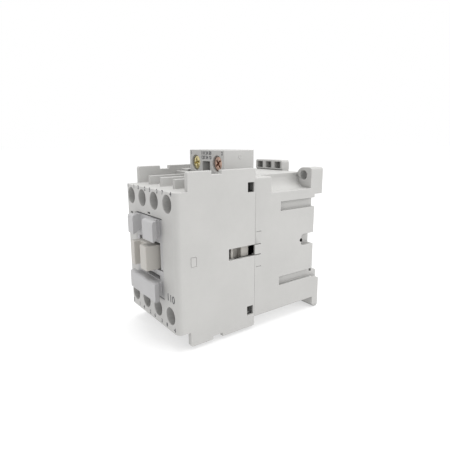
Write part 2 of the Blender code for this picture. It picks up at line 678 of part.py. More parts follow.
def add_back_features(base):
    ear = [(HALF_WIDTH, EAR_LOW_Z), (HALF_WIDTH, EAR_HIGH_Z, 1.2), (EAR_INNER_X, EAR_HIGH_Z, 4.0),
           (EAR_INNER_X, EAR_LOW_Z)]
    ear_right = prism("ear_right", ear, "xz", EAR_FRONT_Y - 0.02, PANEL_Y)
    ear_left = prism("ear_left", turned(ear), "xz", EAR_FRONT_Y - 0.02, PANEL_Y)
    side_foot = prism("foot_side", [(-0.5, -20.2), (2.6, -20.2, 0.8), (PANEL_Y, -21.4, 0.8),
                                    (PANEL_Y, FOOT_LOW_Z, 1.2), (0.9, FOOT_LOW_Z, 2.2),
                                    (0.9, -30.8), (-0.5, -30.8)], "yz", 20.3, HALF_WIDTH)
    foot = prism("foot", [(-0.5, -17.8), (HOOK_Y, -17.8), (HOOK_Y, -16.4, 0.3), (PANEL_Y, -17.4, 0.8),
                          (PANEL_Y, FOOT_LOW_Z, 1.2), (0.9, FOOT_LOW_Z, 2.2), (0.9, -30.8),
                          (-0.5, -30.8)], "yz", 2.0, 20.4)
    hook_left = prism("hook_left", [(-0.5, -17.8), (HOOK_Y, -17.8), (HOOK_Y, -16.4, 0.3),
                                    (PANEL_Y, -17.4, 0.8), (PANEL_Y, -22.0), (-0.5, -22.0)],
                      "yz", -20.4, -13.6)
    guides = boxes("latch_guides", [((-HALF_WIDTH, -0.5, EAR_LOW_Z), (-20.9, PANEL_Y, 30.6)),
                                    ((0.1, -0.5, EAR_LOW_Z), (2.3, PANEL_Y, 30.6))])
    stub = boxes("spring_stub", [((-12.8, -0.5, 27.0), (-7.8, 4.0, 28.6))])
    arms = boxes("snap_arms", [box for low, high in ((25.5, 29.0), (-29.0, -25.5))
                               for box in both_sides((17.9, -38.9, low), (19.2, -36.6, high))])
    add(base, ear_right, ear_left, side_foot, foot, hook_left, guides, stub, arms)
    barb = [(19.0, -38.8), (21.2, -38.4), (21.2, -37.8), (19.0, -37.8)]
    mirrored = [(-x, y) for x, y in barb]
    for place, low, high in (("upper", 25.6, 28.9), ("lower", -28.9, -25.6)):
        add(base, prism(f"barb_right_{place}", barb, "xy", low, high),
            prism(f"barb_left_{place}", mirrored, "xy", low, high))


def cut_base(base):
    cavity = boxes("coil_cavity", [((-CAVITY_HALF_X, BASE_FRONT_Y - PAST, -CAVITY_HALF_Z),
                                    (CAVITY_HALF_X, CAVITY_BACK_Y, CAVITY_HALF_Z))])
    passage = boxes("block_passage", [((-COIL_BLOCK_X - CLEAR, BASE_FRONT_Y - PAST, CAVITY_HALF_Z - PAST),
                                       (COIL_BLOCK_X + CLEAR, -30.3, BASE_HALF_HEIGHT + PAST))])
    slots = boxes("side_slots", [box for low, high in (SLOT_Z, (-SLOT_Z[1], -SLOT_Z[0]))
                                 for box in both_sides((SLOT_X, -22.0, low),
                                                       (HALF_WIDTH + PAST, 0.5, high))])
    notch = [(-8.3, -2.7, 1.3), (0.5, -2.7), (0.5, 2.7), (-8.3, 2.7, 1.3)]
    notch_right = prism("notch_right", notch, "yz", 19.1, HALF_WIDTH + PAST)
    notch_left = prism("notch_left", notch, "yz", -HALF_WIDTH - PAST, -19.1)
    dent_right = rods("dent_right", "x", [(-8.5, 0.0)], 16.8, HALF_WIDTH + PAST, 0.8, 16)
    dent_left = rods("dent_left", "x", [(-8.5, 0.0)], -HALF_WIDTH - PAST, -16.8, 0.8, 16)
    lug_room = boxes("lug_room", both_sides((CAVITY_HALF_X - 0.5, BASE_FRONT_Y - PAST, -4.4),
                                            (INNER_X, -33.0, 4.4)))
    tongue_back = boxes("tongue_back", both_sides((INNER_X - 0.5, BASE_FRONT_Y - PAST, -2.0),
                                                  (HALF_WIDTH - 0.8, -33.2, 2.0)))
    tongue = boxes("tongue_lines", [box for low, high in ((2.15, 2.5), (-2.5, -2.15))
                                    for box in both_sides((HALF_WIDTH - 0.5, BASE_FRONT_Y - PAST, low),
                                                          (HALF_WIDTH + PAST, -33.6, high))])
    side_marks = boxes("side_marks", [box for low, high in ((7.7, 8.0), (-8.0, -7.7))
                                      for box in both_sides((HALF_WIDTH - 0.3, -36.2, low),
                                                            (HALF_WIDTH + PAST, -33.4, high))])
    holes = rods("ear_holes", "y", [EAR_HOLE, (-EAR_HOLE[0], -EAR_HOLE[1])], EAR_FRONT_Y - 0.5,
                 PANEL_Y + 0.5, EAR_HOLE_RADIUS)
    grooves = boxes("latch_grooves", [((-21.9, 2.1, EAR_LOW_Z - 0.5), (-20.7, 3.9, 31.0)),
                                      ((-0.1, 2.1, EAR_LOW_Z - 0.5), (1.1, 3.9, 31.0))])
    cut(base, cavity, passage, slots, notch_right, notch_left, dent_right, dent_left, lug_room,
        tongue_back, tongue, side_marks, holes, grooves)


def rail_latch(material):
    low_x, high_x = LATCH_X
    middle = (low_x + high_x) / 2.0
    origin = (middle, 2.4, 17.8)
    latch = boxes("rail_latch", [((low_x, CLEAR, 17.8), (high_x, 4.9, 31.6))], material, origin)
    tab = prism("latch_tab", [(low_x, 31.4), (high_x, 31.4), (high_x, LATCH_TOP_Z, 1.0),
                              (low_x, LATCH_TOP_Z, 1.0)], "xz", -0.2, PANEL_Y)
    tongues = boxes("latch_tongues", [((low_x - 0.9, 2.4, 21.6), (high_x + 0.9, 3.6, 30.6))])
    hook = prism("latch_hook", [(HOOK_Y, 18.0), (HOOK_Y, 16.4), (4.9, 17.4, 0.8), (4.9, 18.0)],
                 "yz", low_x + 2.6, high_x - 2.6)
    add(latch, tab, tongues, hook)
    window = boxes("latch_spring_window", [((middle - 2.9, 0.0, 20.4), (middle + 2.9, 5.2, 28.9))])
    places = [middle + (index - 1.0) * LATCH_WINDOW_PITCH for index in range(3)]
    panes = boxes("latch_panes", [((x - 2.2, -0.5, 32.0), (x + 2.2, 3.4, 35.3)) for x in places])
    cut(latch, window, panes)
    return latch


# The whole contactor

def build():
    steel = screw_steel()
    plate_steel = clamp_steel()
    brass = contact_brass()
    copper = bridge_copper()
    wire = spring_steel()
    ring = ring_copper()
    contact_housing(housing_plastic())
    base_housing(base_plastic())
    front_guide(guide_plastic())
    contact_carrier(carrier_plastic())
    for index, x in enumerate(POLE_X, start=1):
        bridge(index, x, copper)
        spring(f"contact_spring_{index}", "y", (x, 0.0), -67.1, -62.2, 1.9, 0.25, 4.0, wire)
    terminals(brass, steel, plate_steel)
    laminations = lamination_steel()
    armature(laminations)
    rods("armature_pin", "x", [(-38.3, 0.0)], -9.0, 9.0, 1.0, 20, steel, (0.0, -38.3, 0.0))
    magnet_core(laminations)
    shading_ring("shading_ring_upper", 1, ring)
    shading_ring("shading_ring_lower", -1, ring)
    boxes("core_pad", [((-6.5, -3.1, -18.0), (6.5, -2.3, 18.0))], pad_rubber())
    coil_bobbin(bobbin_plastic())
    coil_winding(winding_copper())
    spring("return_spring_left", "y", (-12.8, 0.0), -41.1, -29.6, 2.2, 0.3, 5.0, wire)
    spring("return_spring_right", "y", (12.8, 0.0), -41.1, -29.6, 2.2, 0.3, 5.0, wire)
    coil_terminal_block(coil_block_plastic())
    coil_terminals(brass, plate_steel, screw_yellow_zinc(), screw_copper_tint())
    rail_latch(latch_plastic())
    spring("latch_spring", "z", (sum(LATCH_X) / 2.0, 2.4), 20.7, 26.7, 1.6, 0.25, 5.0, wire)


clear_scene()
parts = make_collection("rail_contactor")
cutters = make_collection("cutters")
build()
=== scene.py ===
"""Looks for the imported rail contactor: moulded shells, metalwork, printing, lights, camera."""
import json
import math

import bmesh
import bpy
import numpy as np
from mathutils import Matrix, Vector


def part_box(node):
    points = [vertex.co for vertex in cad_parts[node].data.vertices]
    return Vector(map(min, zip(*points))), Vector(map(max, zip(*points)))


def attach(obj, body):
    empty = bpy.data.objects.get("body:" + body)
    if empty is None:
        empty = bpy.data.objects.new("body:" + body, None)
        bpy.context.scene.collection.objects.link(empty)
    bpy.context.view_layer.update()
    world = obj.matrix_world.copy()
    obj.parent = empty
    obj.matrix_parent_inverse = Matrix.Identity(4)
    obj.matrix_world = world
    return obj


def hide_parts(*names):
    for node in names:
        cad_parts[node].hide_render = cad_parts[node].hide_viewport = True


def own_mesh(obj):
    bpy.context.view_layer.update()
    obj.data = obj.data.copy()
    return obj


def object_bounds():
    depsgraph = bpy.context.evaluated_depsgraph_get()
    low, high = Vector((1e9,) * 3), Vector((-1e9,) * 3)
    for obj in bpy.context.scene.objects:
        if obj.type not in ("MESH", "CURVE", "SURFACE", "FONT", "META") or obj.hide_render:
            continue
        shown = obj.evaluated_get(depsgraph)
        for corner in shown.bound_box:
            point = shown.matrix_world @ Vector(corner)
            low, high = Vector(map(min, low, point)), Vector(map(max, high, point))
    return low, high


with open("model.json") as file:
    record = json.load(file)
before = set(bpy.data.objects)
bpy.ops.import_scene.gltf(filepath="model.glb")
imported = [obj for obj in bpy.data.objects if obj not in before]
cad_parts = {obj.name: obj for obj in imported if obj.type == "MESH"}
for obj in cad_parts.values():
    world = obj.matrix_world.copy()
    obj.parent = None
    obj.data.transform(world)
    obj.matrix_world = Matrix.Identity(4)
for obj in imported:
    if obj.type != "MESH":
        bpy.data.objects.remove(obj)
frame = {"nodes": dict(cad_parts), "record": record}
cad_low, cad_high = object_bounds()

MM = 0.001
SCENE = bpy.context.scene
NODE_BODY = {node: body for body, nodes in frame["record"]["behaviour"]["bodies"].items()
             for node in nodes}
NODE_SLOT = {row["node"]: row["material_slot"] for row in frame["record"]["subparts"]}


# Places and sizes on the contactor, in millimetres. A zone is a pair of opposite corners.

POLE_X = [-16.5, -5.5, 5.5, 16.5]
# Edges along the casing's seam and round the front guide's pocket are moulded sharp.
CRISP_ZONES = [((-30.0, -37.1, -40.0), (30.0, -36.85, 50.0)),
               ((11.8, -75.6, -18.0), (12.05, -72.0, 18.0)),
               ((-12.05, -75.6, -18.0), (-11.8, -72.0, 18.0)),
               ((-12.1, -75.6, 15.9), (12.1, -72.0, 16.6)),
               ((-12.1, -75.6, -17.0), (12.1, -72.0, -16.4))]
# The room behind the seam and the holes in the base's side notches get painted shade, nearly black.
INNER_ZONE = ((-21.4, -47.0, -30.6), (21.4, -37.15, 30.6))
DENT_ZONE = ((-19.05, -9.5, -2.4), (19.05, -3.8, 1.0))
# Each hole runs along X: low x, high x, y, z, radius.
NOTCH_HOLES = [(13.0, 19.6, -4.9, -1.3, 0.95), (-19.6, -13.0, -4.9, -1.3, 0.95)]
# Beyond this distance from the middle, the front guide's side faces get painted shade.
GUIDE_SIDE = 10.9

CASING_ROUNDING = {"contact_housing": 0.18, "front_guide": 0.25, "contact_carrier": 0.25,
                   "coil_terminal_block": 0.2, "rail_latch": 0.3, "base_housing": 0.22}
METAL_ROUNDING = 0.08
METAL_SLOTS = ("clamp_steel", "contact_brass", "bridge_copper")
# A rounded edge takes up at most this share of the gap to the next edge.
ROUNDING_SHARE = 0.42
SHARP_ANGLE = math.radians(35.0)
FLAT_ANGLE = math.radians(0.4)

HEAD_HEIGHT = 2.4
SHANK_SHARE = 0.53
THREAD_PITCH = 0.7
THREAD_DEPTH = 0.22
# The recess is a cross of two slots with a square well in the middle.
CROSS_SHARE = 0.66
CROSS_DEPTH = 1.25
CROSS_HALF_WIDTH = 0.42
WELL_DEPTH = 1.8
WELL_HALF_WIDTH = 0.75
OVERCUT = 0.2
# Every screw was tightened to a different angle, in radians.
FIRST_TURN = 0.35
TURN_STEP = 1.13

Y_AXIS, Z_AXIS = 1, 2
# Pitch of a spring's closed first and last turns, in radii of its wire.
CLOSED_PITCH = 2.1
STEPS_PER_TURN = 28

# The ejector mark: (radius, y) points, and its distances from the coil block's front and top.
MARK_PROFILE = [(0.0, 0.10), (0.55, 0.10), (0.65, 0.16), (0.85, 0.16), (0.95, 0.0), (0.95, -0.2),
                (0.0, -0.2)]
MARK_BACK = 8.5
MARK_DOWN = 2.8
PLUG_PLACE = (22.3, -67.75, 0.2)
PLUG_HALF_SIZE = (0.14, 1.13, 1.78)

INK_HEIGHT = 0.012
STROKE_GAIN = 0.07
POLE_FIGURE_SIZE = 2.3
FRONT_FIGURE_SIZE = 4.3
BLOCK_FIGURE_SIZE = 2.0
# Rows of pole figures: side, height, the first pole's figure. Two figures flank each pole.
POLE_ROWS = (("top", 26.95, 1), ("bottom", -27.1, 2))
LEFT_FIGURE, RIGHT_FIGURE = -3.2, 3.3
FRONT_FIGURE_X, FRONT_FIGURE_Z = 17.2, -14.7
# Figures on the coil block: label, text, x, z.
BLOCK_FIGURES = (("upper", "110 24 50", 0.2, 40.8), ("lower", "120 24 60", 0.2, 38.9),
                 ("left", "1", -12.2, 40.8), ("right", "2", 12.2, 40.8))


# Material building blocks. Noise scales are in repeats a metre, so larger is finer.

MOTTLE_SCALE = 55.0
SPECK_SCALE = 2600.0
SPARK_GRAIN_SCALE = 5200.0
PLASTIC_GLOSS_SCALE = 140.0
PLATING_SCALE = 700.0
SCRATCH_SCALE = 6000.0
METAL_GLOSS_SCALE = 1800.0
BAND_STAIN_SCALE = 300.0
BAND_GLOSS_SCALE = 900.0
INK_SCALE = 2500.0
RUBBER_BLOOM_SCALE = 900.0
RUBBER_GRAIN_SCALE = 4000.0
# A wave texture of this scale repeats once a metre.
ONE_BAND_A_METRE = 0.314
# Patterns, wear and painted shade as shares of a material's own colour.
MOTTLE_TONES = (0.965, 1.03)
SPECK_TONE = 0.80
RUBBED_TONE = 1.22
HOLLOW_SHADE_TONE = 0.30
SHADED_TONE = 0.16
PLATING_TONE = 1.08
WORN_TONE = 1.4


class Nodes:
    """A short way to add and join shader nodes in one material."""

    def __init__(self, name):
        self.material = bpy.data.materials.new(name)
        self.material.use_nodes = True
        self.tree = self.material.node_tree
        self.shader = self.tree.nodes["Principled BSDF"]
        self.place = self.add("ShaderNodeTexCoord").outputs["Object"]

    def add(self, kind, **values):
        """A new node, with its properties and inputs set by name."""
        node = self.tree.nodes.new(kind)
        for key, value in values.items():
            if hasattr(node, key):
                setattr(node, key, value)
            else:
                node.inputs[key.replace("_", " ")].default_value = value
        return node

    def join(self, source, target):
        self.tree.links.new(source, target)

    def noise(self, scale, detail=2.0, roughness=0.5):
        """A cloudy value about 0.5, fixed to the piece."""
        node = self.add("ShaderNodeTexNoise", Scale=scale, Detail=detail, Roughness=roughness)
        self.join(self.place, node.inputs["Vector"])
        return node.outputs["Fac"]

    def spread(self, value, low, high, from_low=0.3, from_high=0.7):
        """A value's own range stretched to run from low to high."""
        node = self.add("ShaderNodeMapRange", From_Min=from_low, From_Max=from_high, To_Min=low,
                        To_Max=high)
        self.join(value, node.inputs["Value"])
        return node.outputs["Result"]

    def maths(self, operation, first, second):
        """A sum on two values, each a socket or a number."""
        node = self.add("ShaderNodeMath", operation=operation)
        for socket, value in zip(node.inputs, (first, second)):
            if isinstance(value, (int, float)):
                socket.default_value = value
            else:
                self.join(value, socket)
        return node.outputs["Value"]

    def blend(self, factor, low, high):
        """From one colour at 0 to another at 1, each a socket or a tuple."""
        node = self.add("ShaderNodeMix", data_type="RGBA")
        self.join(factor, node.inputs["Factor"])
        for socket, value in ((node.inputs["A"], low), (node.inputs["B"], high)):
            if isinstance(value, tuple):
                socket.default_value = (*value, 1.0)
            else:
                self.join(value, socket)
        return node.outputs["Result"]

    def scaled(self, tone, factor):
        """A colour socket multiplied by a number."""
        node = self.add("ShaderNodeVectorMath", operation="SCALE")
        node.inputs["Scale"].default_value = factor
        self.join(tone, node.inputs[0])
        return node.outputs["Vector"]

    def split(self, vector):
        """The X, Y and Z sockets of a vector."""
        node = self.add("ShaderNodeSeparateXYZ")
        self.join(vector, node.inputs["Vector"])
        return node.outputs

    def normal(self):
        """The direction each point of the surface faces, without the bump."""
        return self.add("ShaderNodeNewGeometry").outputs["Normal"]

    def edges(self, radius):
        """1 on rounded-over edges and 0 on flats."""
        bevel = self.add("ShaderNodeBevel", samples=4, Radius=radius * MM)
        dot = self.add("ShaderNodeVectorMath", operation="DOT_PRODUCT")
        self.join(bevel.outputs["Normal"], dot.inputs[0])
        self.join(self.normal(), dot.inputs[1])
        return self.spread(dot.outputs["Value"], 1.0, 0.0, from_low=0.90, from_high=0.995)

    def hollows(self, reach, closed_at, open_at):
        """0 deep inside recesses and 1 in the open."""
        shade = self.add("ShaderNodeAmbientOcclusion", samples=8, Distance=reach * MM)
        return self.spread(shade.outputs["AO"], 0.0, 1.0, closed_at, open_at)

    def sideways(self, beyond):
        """1 on faces to the left and right that lie further out than a distance, else 0."""
        facing = self.split(self.normal())["X"]
        offset = self.maths("ABSOLUTE", self.split(self.place)["X"], 0.0)
        return self.maths("MULTIPLY", self.maths("MULTIPLY", facing, facing),
                          self.maths("GREATER_THAN", offset, beyond * MM))

    def inside(self, low, high):
        """1 inside a zone and 0 outside it."""
        parts = self.split(self.place)
        found = 1.0
        for axis, a, b in zip("XYZ", low, high):
            above = self.maths("GREATER_THAN", parts[axis], a * MM)
            below = self.maths("LESS_THAN", parts[axis], b * MM)
            found = self.maths("MULTIPLY", found, self.maths("MULTIPLY", above, below))
        return found

    def bump(self, height, strength, depth):
        """Relief in the shading, its depth in millimetres."""
        node = self.add("ShaderNodeBump", Strength=strength, Distance=depth * MM)
        self.join(height, node.inputs["Height"])
        self.join(node.outputs["Normal"], self.shader.inputs["Normal"])

    def colour(self, tone):
        self.join(tone, self.shader.inputs["Base Color"])

    def roughness(self, scale, detail, low, high):
        """Patchy roughness between two values."""
        self.join(self.spread(self.noise(scale, detail), low, high),
                  self.shader.inputs["Roughness"])

    def settle(self, **values):
        """Plain values for the shader's inputs, by name."""
        for key, value in values.items():
            self.shader.inputs[key.replace("_", " ")].default_value = value


def mixed(colour, factor):
    """A lighter or darker colour."""
    return tuple(min(1.0, c * factor) for c in colour)


def plastic(name, colour, roughness=0.5, grain=0.25, reach=4.0, open_at=0.45,
            shaded=(), side_shade=1.0):
    """Moulded plastic: fine spark-eroded grain, slow mottling, paler rubbed edges, painted shade in
    hollows.
    """
    n = Nodes(name)
    mottle = n.spread(n.noise(MOTTLE_SCALE, 4.0, 0.6), 0.0, 1.0)
    tone = n.blend(mottle, *(mixed(colour, factor) for factor in MOTTLE_TONES))
    speck = n.spread(n.noise(SPECK_SCALE), 0.0, 0.10, from_low=0.45, from_high=0.75)
    tone = n.blend(speck, tone, mixed(colour, SPECK_TONE))
    rubbed = n.maths("MULTIPLY", n.edges(radius=0.35), 0.45)
    tone = n.blend(rubbed, tone, mixed(colour, RUBBED_TONE))
    # Painted shade: the colour darkens deep in recesses, by ambient occlusion.
    tone = n.blend(n.hollows(reach, 0.05, open_at), mixed(colour, HOLLOW_SHADE_TONE), tone)
    # Painted shade on side faces that face left and right.
    if side_shade < 1.0:
        tone = n.blend(n.sideways(GUIDE_SIDE), tone, n.scaled(tone, side_shade))
    # Painted shade, nearly black, inside each given zone.
    for zone in shaded:
        tone = n.blend(n.inside(*zone), tone, mixed(colour, SHADED_TONE))
    n.colour(tone)
    n.roughness(PLASTIC_GLOSS_SCALE, 3.0, roughness - 0.06, roughness + 0.07)
    n.bump(n.noise(SPARK_GRAIN_SCALE, 3.0, 0.65), strength=grain, depth=0.03)
    n.settle(Specular_IOR_Level=0.4)
    return n.material


def metal(name, colour, roughness=0.3, dull=0.75):
    """Plated or bare metal: patchy tone, fine scratches, brighter worn edges."""
    n = Nodes(name)
    patch = n.spread(n.noise(PLATING_SCALE, 4.0, 0.6), 0.0, 1.0)
    tone = n.blend(patch, mixed(colour, dull), mixed(colour, PLATING_TONE))
    worn = n.maths("MULTIPLY", n.edges(radius=0.2), 0.5)
    n.colour(n.blend(worn, tone, mixed(colour, WORN_TONE)))
    n.roughness(METAL_GLOSS_SCALE, 3.0, roughness - 0.1, roughness + 0.15)
    n.bump(n.noise(SCRATCH_SCALE), strength=0.2, depth=0.02)
    n.settle(Metallic=1.0)
    return n.material


def banded(name, light, dark, pitch, axis, metallic, roughness):
    """Layers or turns side by side along one axis, such as sheet steel or enamelled wire."""
    n = Nodes(name)
    wave = n.add("ShaderNodeTexWave", wave_type="BANDS", bands_direction=axis,
                 Scale=ONE_BAND_A_METRE / (pitch * MM), Distortion=0.4, Detail=1.0)
    n.join(n.place, wave.inputs["Vector"])
    bands = wave.outputs["Fac"]
    stain = n.spread(n.noise(BAND_STAIN_SCALE, 3.0), 0.0, 0.35)
    n.colour(n.blend(stain, n.blend(bands, dark, light), dark))
    n.roughness(BAND_GLOSS_SCALE, 2.0, roughness - 0.08, roughness + 0.12)
    n.bump(bands, strength=0.6, depth=0.06)
    n.settle(Metallic=metallic)
    return n.material


def ink(name, colour):
    """Pad-printed ink: thin and a little uneven."""
    n = Nodes(name)
    n.colour(n.blend(n.spread(n.noise(INK_SCALE, 3.0), 0.0, 1.0), colour, mixed(colour, 1.7)))
    n.settle(Roughness=0.6)
    return n.material


def rubber(name, colour):
    """Black rubber with a patchy grey bloom and a soft grain."""
    n = Nodes(name)
    bloom = n.spread(n.noise(RUBBER_BLOOM_SCALE, 3.0), 0.0, 1.0)
    n.colour(n.blend(bloom, colour, mixed(colour, 2.5)))
    n.settle(Roughness=0.85)
    n.bump(n.noise(RUBBER_GRAIN_SCALE), strength=0.3, depth=0.03)
    return n.material


GREY = (0.452, 0.448, 0.436)
LOOKS = {
    "housing_plastic": plastic("Housing plastic", GREY, shaded=[INNER_ZONE]),
    "base_plastic": plastic("Base plastic", mixed(GREY, 0.99), open_at=0.75,
                            shaded=[INNER_ZONE, DENT_ZONE]),
    "guide_plastic": plastic("Guide plastic", (0.430, 0.427, 0.430), reach=1.2, side_shade=0.80),
    "carrier_plastic": plastic("Carrier plastic", (0.445, 0.428, 0.398), roughness=0.42,
                               grain=0.15, reach=3.0),
    "coil_block_plastic": plastic("Coil block plastic", mixed(GREY, 0.97)),
    "latch_plastic": plastic("Latch plastic", mixed(GREY, 0.96)),
    "bobbin_plastic": plastic("Bobbin plastic", (0.05, 0.05, 0.055)),
    "lamination_steel": banded("Lamination steel", (0.42, 0.42, 0.43), (0.16, 0.16, 0.17),
                               pitch=0.5, axis="X", metallic=1.0, roughness=0.4),
    "winding_copper": banded("Winding copper", (0.60, 0.25, 0.10), (0.22, 0.08, 0.03),
                             pitch=0.3, axis="Y", metallic=0.9, roughness=0.3),
    "ring_copper": metal("Ring copper", (0.72, 0.36, 0.20)),
    "contact_brass": metal("Contact brass", (0.74, 0.58, 0.28)),
    "bridge_copper": metal("Bridge copper", (0.72, 0.40, 0.24)),
    "screw_steel": metal("Screw steel", (0.62, 0.63, 0.64)),
    "screw_yellow_zinc": metal("Screw yellow zinc", (0.72, 0.63, 0.34), roughness=0.22, dull=0.6),
    "screw_copper_tint": metal("Screw copper tint", (0.56, 0.38, 0.30), dull=0.6),
    "clamp_steel": metal("Clamp steel", (0.58, 0.59, 0.60), roughness=0.35),
    "spring_steel": metal("Spring steel", (0.50, 0.51, 0.53), roughness=0.25),
    "pad_rubber": rubber("Pad rubber", (0.02, 0.02, 0.02)),
}
INK = ink("Printing ink", (0.035, 0.035, 0.04))


def dress_cad_nodes():
    for name, node in frame["nodes"].items():
        node.data.materials.clear()
        node.data.materials.append(LOOKS[NODE_SLOT[name]])


# Drawing and keeping pieces

def box_into(shape, low, high, turn=0.0):
    """Add a box in millimetres, turned about the Y axis."""
    made = bmesh.ops.create_cube(shape, size=1.0)["verts"]
    bmesh.ops.scale(shape, verts=made, vec=[b - a for a, b in zip(low, high)])
    bmesh.ops.translate(shape, verts=made, vec=[(a + b) / 2.0 for a, b in zip(low, high)])
    if turn:
        bmesh.ops.rotate(shape, verts=made, cent=(0.0, 0.0, 0.0),
                         matrix=Matrix.Rotation(turn, 3, "Y"))


def turned(profile):
    """A solid of revolution about Y from (radius, y) points in millimetres, front to back."""
    shape = bmesh.new()
    points = [shape.verts.new((r, y, 0.0)) for r, y in profile]
    line = [shape.edges.new(pair) for pair in zip(points, points[1:])]
    bmesh.ops.spin(shape, geom=points + line, cent=(0.0, 0.0, 0.0), axis=(0.0, 1.0, 0.0),
                   angle=2.0 * math.pi, steps=48, use_merge=True)
    bmesh.ops.remove_doubles(shape, verts=shape.verts, dist=0.001)
    shape.normal_update()
    bmesh.ops.recalc_face_normals(shape, faces=shape.faces)
    return shape


def as_object(name, shape, centre=(0.0, 0.0, 0.0)):
    """Turn a bmesh drawn in millimetres round a centre into an object in metres."""
    bmesh.ops.scale(shape, verts=shape.verts, vec=(MM, MM, MM))
    mesh = bpy.data.meshes.new(name)
    shape.to_mesh(mesh)
    shape.free()
    mesh.shade_smooth()
    mesh.set_sharp_from_angle(angle=SHARP_ANGLE)
    item = bpy.data.objects.new(name, mesh)
    item.location = Vector(centre) * MM
    SCENE.collection.objects.link(item)
    return item


def as_mesh(drawn):
    """The mesh of a drawn curve or text, whose object is then thrown away."""
    SCENE.collection.objects.link(drawn)
    graph = bpy.context.evaluated_depsgraph_get()
    mesh = bpy.data.meshes.new_from_object(drawn.evaluated_get(graph))
    bpy.data.objects.remove(drawn, do_unlink=True)
    return mesh


def bake(item):
    """Keep what the item's modifiers make of it as its own mesh."""
    bpy.context.view_layer.update()
    done = item.evaluated_get(bpy.context.evaluated_depsgraph_get())
    mesh = bpy.data.meshes.new_from_object(done)
    item.modifiers.clear()
    item.data = mesh


def carve(item, tool):
    """Cut the tool's shape out of the item for good, then throw the tool away."""
    cut = item.modifiers.new("cut", "BOOLEAN")
    cut.operation = "DIFFERENCE"
    cut.solver = "EXACT"
    cut.use_self = True
    cut.object = tool
    bake(item)
    bpy.data.objects.remove(tool, do_unlink=True)


def stand_for(item, node_name):
    """The finished item takes the CAD node's body, material slot and look."""
    item.data.materials.clear()
    item.data.materials.append(LOOKS[NODE_SLOT[node_name]])
    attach(item, NODE_BODY[node_name])
    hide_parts(node_name)


# Moulded and stamped pieces, from the CAD nodes' own meshes

def is_crisp(edge):
    """Whether an edge lies in one of the zones that stay sharp."""
    ends = [vertex.co / MM for vertex in edge.verts]
    return any(all(a <= value <= b for end in ends for value, a, b in zip(end, low, high))
               for low, high in CRISP_ZONES)


def gaps(ends):
    """For each segment in one face, the distance to the nearest segment it shares no end with."""
    start, along = ends[:, 0], ends[:, 1] - ends[:, 0]
    length = np.maximum((along ** 2).sum(1), 1e-18)
    points = ends.reshape(-1, 3)
    offset = points[:, None, :] - start[None, :, :]
    part = np.clip((offset * along[None, :, :]).sum(2) / length[None, :], 0.0, 1.0)
    apart = np.linalg.norm(offset - part[:, :, None] * along[None, :, :], axis=2)
    apart = apart.reshape(len(ends), 2, len(ends)).min(1)
    touching = np.linalg.norm(ends[:, None, :, None, :] - ends[None, :, None, :, :], axis=4)
    apart[touching.min((2, 3)) < 1e-7] = np.inf
    return np.minimum(apart.min(1), apart.min(0))


def weigh_edges(shape, radius):
    """Mark how far the bevel rounds each sharp edge: less where another edge is close."""
    weight = shape.edges.layers.float.new("bevel_weight_edge")
    sharp = {edge for edge in shape.edges
             if len(edge.link_faces) == 2 and edge.calc_face_angle(0.0) > SHARP_ANGLE
             and not is_crisp(edge)}
    room = dict.fromkeys(sharp, math.inf)
    for face in shape.faces:
        edges = [edge for edge in face.edges if edge in sharp]
        if len(edges) < 2:
            continue
        nearest = gaps(np.array([[vertex.co[:] for vertex in edge.verts] for edge in edges]))
        for edge, gap in zip(edges, nearest):
            room[edge] = min(room[edge], gap)
    for edge, gap in room.items():
        edge[weight] = min(1.0, ROUNDING_SHARE * gap / (radius * MM))


def stay_inside(mesh, low, high):
    """Keep every corner inside the CAD node's box."""
    for vertex in mesh.vertices:
        vertex.co = [min(max(value, a), b) for value, a, b in zip(vertex.co, low, high)]


def drilled(node_name, holes):
    """A copy of the CAD node's mesh with round holes through it."""
    item = bpy.data.objects.new("drilled", frame["nodes"][node_name].data.copy())
    SCENE.collection.objects.link(item)
    for low, high, y, z, radius in holes:
        tool = bmesh.new()
        bmesh.ops.create_cone(tool, cap_ends=True, segments=24, radius1=radius, radius2=radius,
                              depth=high - low, matrix=Matrix.Rotation(math.pi / 2.0, 4, "Y"))
        carve(item, as_object("drill", tool, ((low + high) / 2.0, y, z)))
    mesh = item.data
    bpy.data.objects.remove(item, do_unlink=True)
    return mesh


def moulded(node_name, radius, holes=()):
    """The CAD node's shape with its edges rounded as a mould leaves them."""
    shape = bmesh.new()
    shape.from_mesh(drilled(node_name, holes) if holes else frame["nodes"][node_name].data)
    bmesh.ops.remove_doubles(shape, verts=shape.verts, dist=1e-6)
    bmesh.ops.dissolve_limit(shape, angle_limit=FLAT_ANGLE, verts=shape.verts, edges=shape.edges)
    weigh_edges(shape, radius)
    mesh = bpy.data.meshes.new(node_name + "_moulded")
    shape.to_mesh(mesh)
    shape.free()
    piece = bpy.data.objects.new(node_name + "_moulded", mesh)
    SCENE.collection.objects.link(piece)
    mesh.shade_smooth()
    mesh.set_sharp_from_angle(angle=SHARP_ANGLE)
    bevel = piece.modifiers.new("rounded_edges", "BEVEL")
    bevel.width = radius * MM
    bevel.segments = 2
    bevel.limit_method = "WEIGHT"
    bevel.use_clamp_overlap = False
    weighted = piece.modifiers.new("flat_faces", "WEIGHTED_NORMAL")
    weighted.keep_sharp = True
    weighted.weight = 90
    bake(piece)
    stay_inside(piece.data, *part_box(node_name))
    stand_for(piece, node_name)


def make_casings():
    for name, radius in CASING_ROUNDING.items():
        moulded(name, radius, NOTCH_HOLES if name == "base_housing" else ())


def make_metalwork():
    for name, slot_name in NODE_SLOT.items():
        if slot_name in METAL_SLOTS:
            moulded(name, METAL_ROUNDING)


# Screws and springs, drawn in the CAD nodes' boxes

